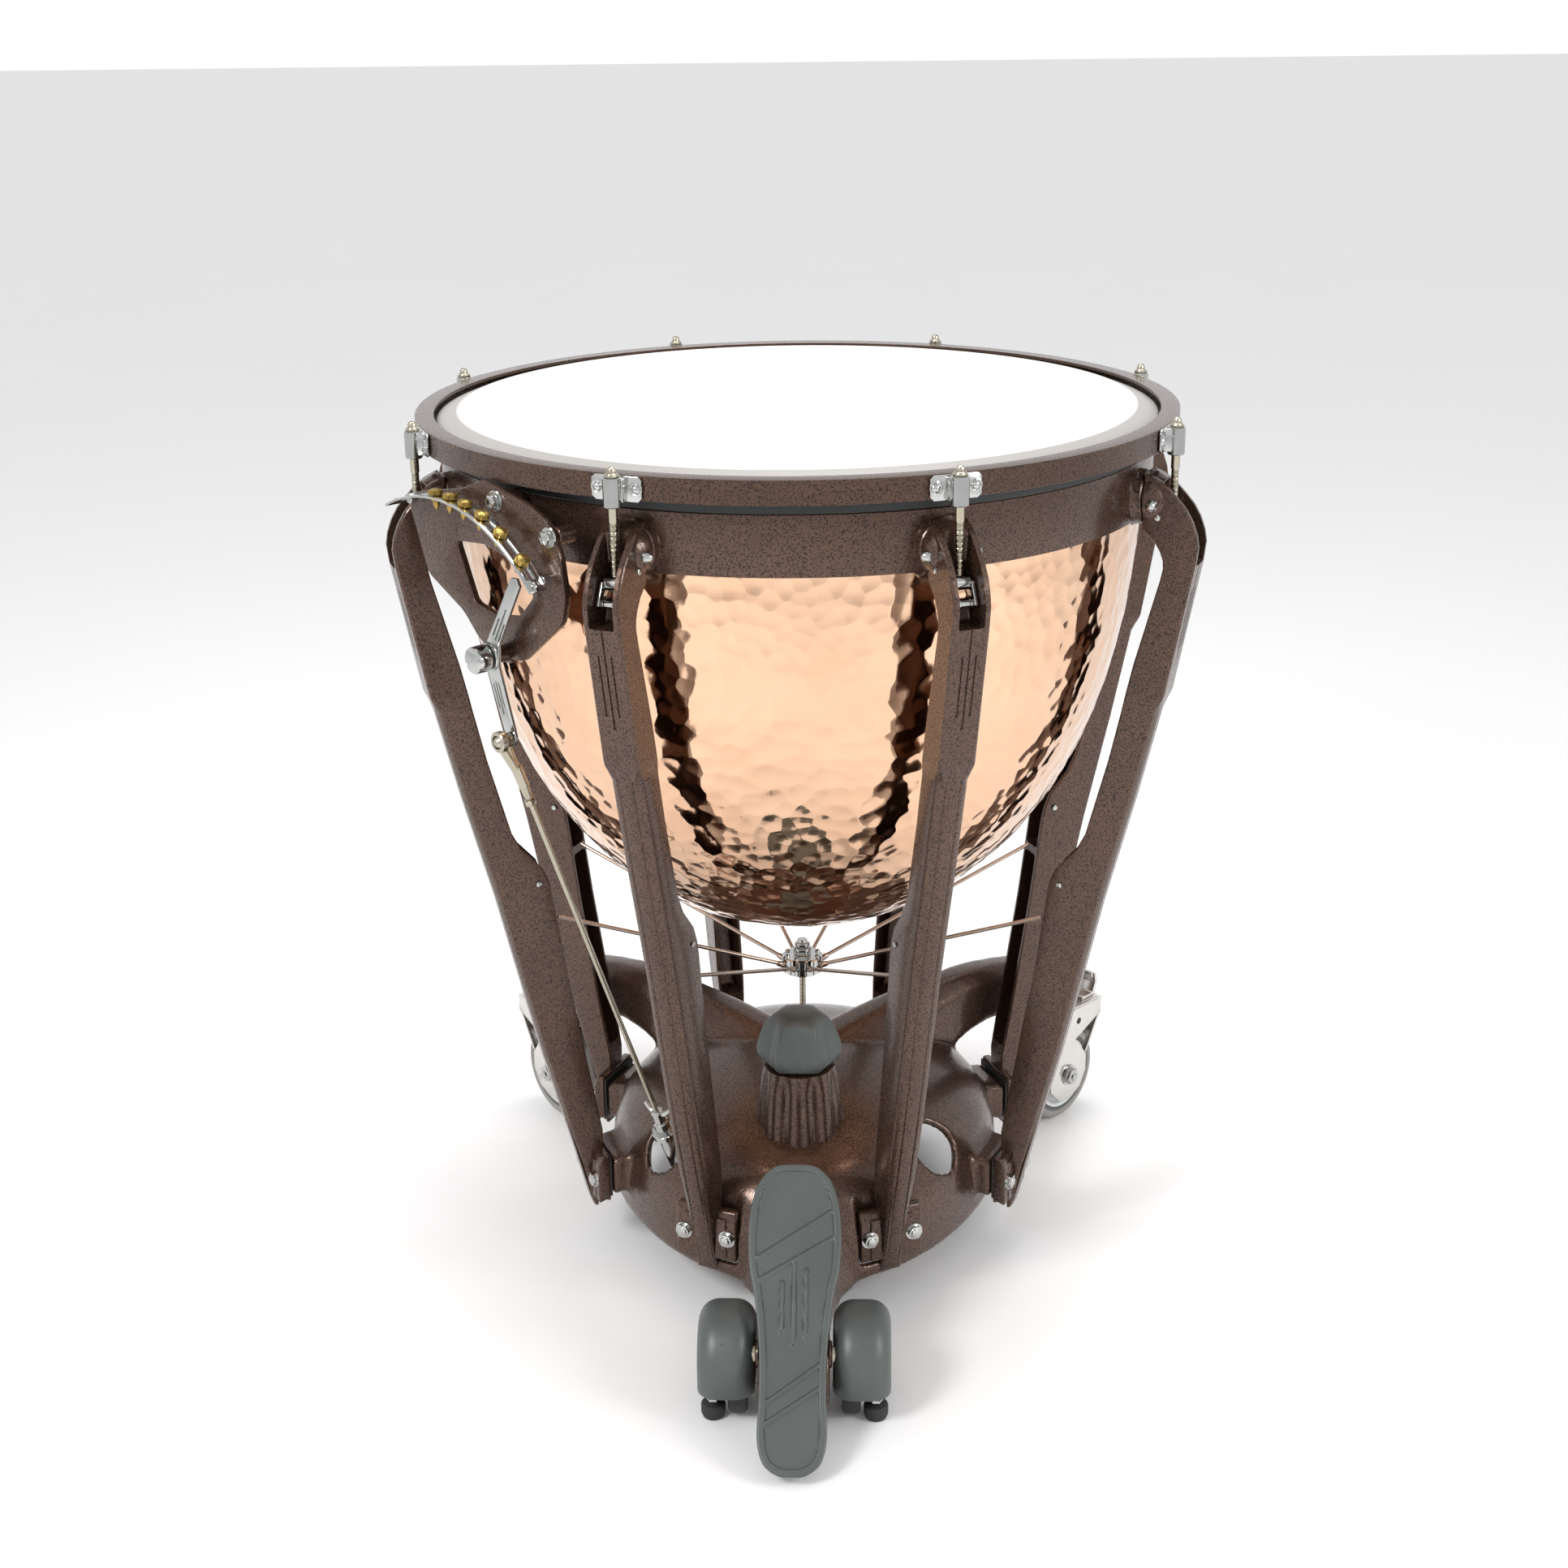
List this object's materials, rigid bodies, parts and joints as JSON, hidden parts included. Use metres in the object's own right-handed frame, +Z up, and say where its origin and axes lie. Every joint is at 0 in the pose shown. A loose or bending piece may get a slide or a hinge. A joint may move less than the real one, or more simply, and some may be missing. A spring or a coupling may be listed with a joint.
{
  "type": "pedal timpani drum",
  "caption": "Pedal kettledrum: a hammered copper bowl hung from curved struts on a three-legged wheeled base, with a foot pedal, tension rods and a tuning gauge.",
  "frame": {"origin": "on the floor under the centre of the whole object's box; the bowl's axis stands 62.4 mm behind it", "axes": "+Z up; the player and the pedal are on the -Y side; +X is to the player's right"},
  "size_m": [0.7618, 0.8865, 0.89],
  "materials": {
    "hammertone": "brown hammertone enamel with darker flecks, semi-gloss",
    "copper": null,
    "plated": "bright plated steel",
    "steel": "plain drawn steel",
    "brass": "turned brass, satin",
    "film": "clear film with a white milky coating",
    "black_band": "black plastic strip, satin",
    "black_rubber": "hard rubber, matt",
    "grey_tyre": "grey non-marking tread, matt",
    "grey_casting": "cast aluminium in dark grey textured paint"
  },
  "bodies": {
    "frame": {"base_casting": "hammertone", "bowl": "copper", "bowl_ring": "hammertone", "bearing_band": "black_band", "drum_head": "film", "strut_1": "hammertone", "strut_2": "hammertone", "strut_3": "hammertone", "strut_4": "hammertone", "strut_5": "hammertone", "strut_6": "hammertone", "strut_7": "hammertone", "strut_8": "hammertone", "front_fender_left": "grey_casting", "front_fender_right": "grey_casting", "pedal_shaft": "steel", "gauge_bracket": "hammertone", "gauge_track": "plated"},
    "hoop": {"counterhoop": "hammertone", "flesh_hoop": "steel"},
    "pedal": {"pedal": "grey_casting"},
    "spider": {"spoke_hub": "plated", "pull_rod": "steel"},
    "rocker_1": {"rocker_1": "plated"},
    "rocker_2": {"rocker_2": "plated"},
    "rocker_3": {"rocker_3": "plated"},
    "rocker_4": {"rocker_4": "plated"},
    "rocker_5": {"rocker_5": "plated"},
    "rocker_6": {"rocker_6": "plated"},
    "rocker_7": {"rocker_7": "plated"},
    "rocker_8": {"rocker_8": "plated"},
    "tension_rod_1": {"tension_rod_1": "plated"},
    "tension_rod_2": {"tension_rod_2": "plated"},
    "tension_rod_3": {"tension_rod_3": "plated"},
    "tension_rod_4": {"tension_rod_4": "plated"},
    "tension_rod_5": {"tension_rod_5": "plated"},
    "tension_rod_6": {"tension_rod_6": "plated"},
    "tension_rod_7": {"tension_rod_7": "plated"},
    "tension_rod_8": {"tension_rod_8": "plated"},
    "knob": {"tension_knob": "grey_casting"},
    "rear_fork_left": {"rear_fork_left": "plated"},
    "rear_wheel_left": {"rear_wheel_left": "grey_tyre"},
    "brake_lever_left": {"brake_lever_left": "plated"},
    "front_wheel_left": {"front_wheel_left": "black_rubber"},
    "levelling_foot_left": {"levelling_foot_left": "black_rubber"},
    "rear_fork_right": {"rear_fork_right": "plated"},
    "rear_wheel_right": {"rear_wheel_right": "grey_tyre"},
    "brake_lever_right": {"brake_lever_right": "plated"},
    "front_wheel_right": {"front_wheel_right": "black_rubber"},
    "levelling_foot_right": {"levelling_foot_right": "black_rubber"},
    "pointer": {"gauge_pointer": "plated"},
    "link": {"link_rod": "steel", "link_collar": "plated"},
    "marker_1": {"gauge_marker_1": "brass"},
    "marker_2": {"gauge_marker_2": "brass"},
    "marker_3": {"gauge_marker_3": "brass"},
    "marker_4": {"gauge_marker_4": "brass"},
    "marker_5": {"gauge_marker_5": "brass"},
    "marker_6": {"gauge_marker_6": "brass"}
  },
  "joints": [
    {"name": "pedal_tilt", "type": "hinge", "parent": "frame", "child": "pedal", "pos_m": [0, -0.3356, 0.07], "axis": [-1, 0, 0], "range_deg": [0, 24]},
    {"name": "spider_slide", "type": "slide", "parent": "frame", "child": "spider", "axis": [0, 0, -1], "range_m": [0, 0.01]},
    {"name": "hoop_slide", "type": "slide", "parent": "frame", "child": "hoop", "axis": [0, 0, -1], "range_m": [0, 0.0055]},
    {"name": "rocker_1_tilt", "type": "hinge", "parent": "frame", "child": "rocker_1", "pos_m": [0.137, -0.26835, 0.79], "axis": [0.9239, 0.3827, 0], "range_deg": [0, 18]},
    {"name": "rocker_2_tilt", "type": "hinge", "parent": "frame", "child": "rocker_2", "pos_m": [0.33075, -0.0746, 0.79], "axis": [0.3827, 0.9239, 0], "range_deg": [0, 18]},
    {"name": "rocker_3_tilt", "type": "hinge", "parent": "frame", "child": "rocker_3", "pos_m": [0.33075, 0.1994, 0.79], "axis": [-0.3827, 0.9239, 0], "range_deg": [0, 18]},
    {"name": "rocker_4_tilt", "type": "hinge", "parent": "frame", "child": "rocker_4", "pos_m": [0.137, 0.39315, 0.79], "axis": [-0.9239, 0.3827, 0], "range_deg": [0, 18]},
    {"name": "rocker_5_tilt", "type": "hinge", "parent": "frame", "child": "rocker_5", "pos_m": [-0.137, 0.39315, 0.79], "axis": [-0.9239, -0.3827, 0], "range_deg": [0, 18]},
    {"name": "rocker_6_tilt", "type": "hinge", "parent": "frame", "child": "rocker_6", "pos_m": [-0.33075, 0.1994, 0.79], "axis": [-0.3827, -0.9239, 0], "range_deg": [0, 18]},
    {"name": "rocker_7_tilt", "type": "hinge", "parent": "frame", "child": "rocker_7", "pos_m": [-0.33075, -0.0746, 0.79], "axis": [0.3827, -0.9239, 0], "range_deg": [0, 18]},
    {"name": "rocker_8_tilt", "type": "hinge", "parent": "frame", "child": "rocker_8", "pos_m": [-0.137, -0.26835, 0.79], "axis": [0.9239, -0.3827, 0], "range_deg": [0, 18]},
    {"name": "tension_rod_1_turn", "type": "hinge", "parent": "hoop", "child": "tension_rod_1", "pos_m": [0.14389, -0.28498, 0.84], "axis": [0, 0, 1], "continuous": true},
    {"name": "tension_rod_2_turn", "type": "hinge", "parent": "hoop", "child": "tension_rod_2", "pos_m": [0.34738, -0.08149, 0.84], "axis": [0, 0, 1], "continuous": true},
    {"name": "tension_rod_3_turn", "type": "hinge", "parent": "hoop", "child": "tension_rod_3", "pos_m": [0.34738, 0.20629, 0.84], "axis": [0, 0, 1], "continuous": true},
    {"name": "tension_rod_4_turn", "type": "hinge", "parent": "hoop", "child": "tension_rod_4", "pos_m": [0.14389, 0.40978, 0.84], "axis": [0, 0, 1], "continuous": true},
    {"name": "tension_rod_5_turn", "type": "hinge", "parent": "hoop", "child": "tension_rod_5", "pos_m": [-0.14389, 0.40978, 0.84], "axis": [0, 0, 1], "continuous": true},
    {"name": "tension_rod_6_turn", "type": "hinge", "parent": "hoop", "child": "tension_rod_6", "pos_m": [-0.34738, 0.20629, 0.84], "axis": [0, 0, 1], "continuous": true},
    {"name": "tension_rod_7_turn", "type": "hinge", "parent": "hoop", "child": "tension_rod_7", "pos_m": [-0.34738, -0.08149, 0.84], "axis": [0, 0, 1], "continuous": true},
    {"name": "tension_rod_8_turn", "type": "hinge", "parent": "hoop", "child": "tension_rod_8", "pos_m": [-0.14389, -0.28498, 0.84], "axis": [0, 0, 1], "continuous": true},
    {"name": "knob_turn", "type": "hinge", "parent": "frame", "child": "knob", "pos_m": [0, -0.0776, 0.262], "axis": [0, 0, 1], "continuous": true},
    {"name": "rear_fork_left_swivel", "type": "hinge", "parent": "frame", "child": "rear_fork_left", "pos_m": [-0.26784, 0.24648, 0.15], "axis": [0, 0, 1], "range_deg": [-115, 135]},
    {"name": "rear_wheel_left_roll", "type": "hinge", "parent": "rear_fork_left", "child": "rear_wheel_left", "pos_m": [-0.28724, 0.26803, 0.057], "axis": [0.7431, 0.6691, 0], "continuous": true},
    {"name": "brake_lever_left_press", "type": "hinge", "parent": "rear_fork_left", "child": "brake_lever_left", "pos_m": [-0.30799, 0.29107, 0.1394], "axis": [0.7431, 0.6691, 0], "range_deg": [0, 15]},
    {"name": "front_wheel_left_roll", "type": "hinge", "parent": "frame", "child": "front_wheel_left", "pos_m": [-0.053, -0.3196, 0.028], "axis": [1, 0, 0], "continuous": true},
    {"name": "levelling_foot_left_lift", "type": "slide", "parent": "frame", "child": "levelling_foot_left", "axis": [0, 0, 1], "range_m": [0, 0.01]},
    {"name": "rear_fork_right_swivel", "type": "hinge", "parent": "frame", "child": "rear_fork_right", "pos_m": [0.26784, 0.24648, 0.15], "axis": [0, 0, 1], "range_deg": [-135, 115]},
    {"name": "rear_wheel_right_roll", "type": "hinge", "parent": "rear_fork_right", "child": "rear_wheel_right", "pos_m": [0.28724, 0.26803, 0.057], "axis": [0.7431, -0.6691, 0], "continuous": true},
    {"name": "brake_lever_right_press", "type": "hinge", "parent": "rear_fork_right", "child": "brake_lever_right", "pos_m": [0.30799, 0.29107, 0.1394], "axis": [0.7431, -0.6691, 0], "range_deg": [0, 15]},
    {"name": "front_wheel_right_roll", "type": "hinge", "parent": "frame", "child": "front_wheel_right", "pos_m": [0.053, -0.3196, 0.028], "axis": [1, 0, 0], "continuous": true},
    {"name": "levelling_foot_right_lift", "type": "slide", "parent": "frame", "child": "levelling_foot_right", "axis": [0, 0, 1], "range_m": [0, 0.01]},
    {"name": "pointer_turn", "type": "hinge", "parent": "frame", "child": "pointer", "pos_m": [-0.26304, -0.22893, 0.71], "axis": [-0.7071, -0.7071, 0], "range_deg": [0, 58]},
    {"name": "link_turn", "type": "hinge", "parent": "pointer", "child": "link", "pos_m": [-0.24961, -0.25085, 0.64], "axis": [-0.7071, -0.7071, 0], "range_deg": [-63, 0]},
    {"name": "marker_1_shift", "type": "hinge", "parent": "frame", "child": "marker_1", "pos_m": [-0.30406, -0.18792, 0.667], "axis": [-0.7071, -0.7071, 0], "range_deg": [-1.3, 1.3]},
    {"name": "marker_2_shift", "type": "hinge", "parent": "frame", "child": "marker_2", "pos_m": [-0.30406, -0.18792, 0.667], "axis": [-0.7071, -0.7071, 0], "range_deg": [-1.3, 1.3]},
    {"name": "marker_3_shift", "type": "hinge", "parent": "frame", "child": "marker_3", "pos_m": [-0.30406, -0.18792, 0.667], "axis": [-0.7071, -0.7071, 0], "range_deg": [-1.3, 1.3]},
    {"name": "marker_4_shift", "type": "hinge", "parent": "frame", "child": "marker_4", "pos_m": [-0.30406, -0.18792, 0.667], "axis": [-0.7071, -0.7071, 0], "range_deg": [-1.3, 1.3]},
    {"name": "marker_5_shift", "type": "hinge", "parent": "frame", "child": "marker_5", "pos_m": [-0.30406, -0.18792, 0.667], "axis": [-0.7071, -0.7071, 0], "range_deg": [-1.3, 1.3]},
    {"name": "marker_6_shift", "type": "hinge", "parent": "frame", "child": "marker_6", "pos_m": [-0.30406, -0.18792, 0.667], "axis": [-0.7071, -0.7071, 0], "range_deg": [-1.3, 1.3]}
  ],
  "couplings": [
    {"joint": "spider_slide", "follows": "pedal_tilt", "m_per_rad": 0.0229},
    {"joint": "hoop_slide", "follows": "pedal_tilt", "m_per_rad": 0.0126},
    {"joint": "rocker_1_tilt", "follows": "pedal_tilt", "ratio": 0.719},
    {"joint": "rocker_2_tilt", "follows": "pedal_tilt", "ratio": 0.719},
    {"joint": "rocker_3_tilt", "follows": "pedal_tilt", "ratio": 0.719},
    {"joint": "rocker_4_tilt", "follows": "pedal_tilt", "ratio": 0.719},
    {"joint": "rocker_5_tilt", "follows": "pedal_tilt", "ratio": 0.719},
    {"joint": "rocker_6_tilt", "follows": "pedal_tilt", "ratio": 0.719},
    {"joint": "rocker_7_tilt", "follows": "pedal_tilt", "ratio": 0.719},
    {"joint": "rocker_8_tilt", "follows": "pedal_tilt", "ratio": 0.719},
    {"joint": "pointer_turn", "follows": "pedal_tilt", "ratio": 2.31},
    {"joint": "link_turn", "follows": "pedal_tilt", "ratio": -2.51}
  ]
}
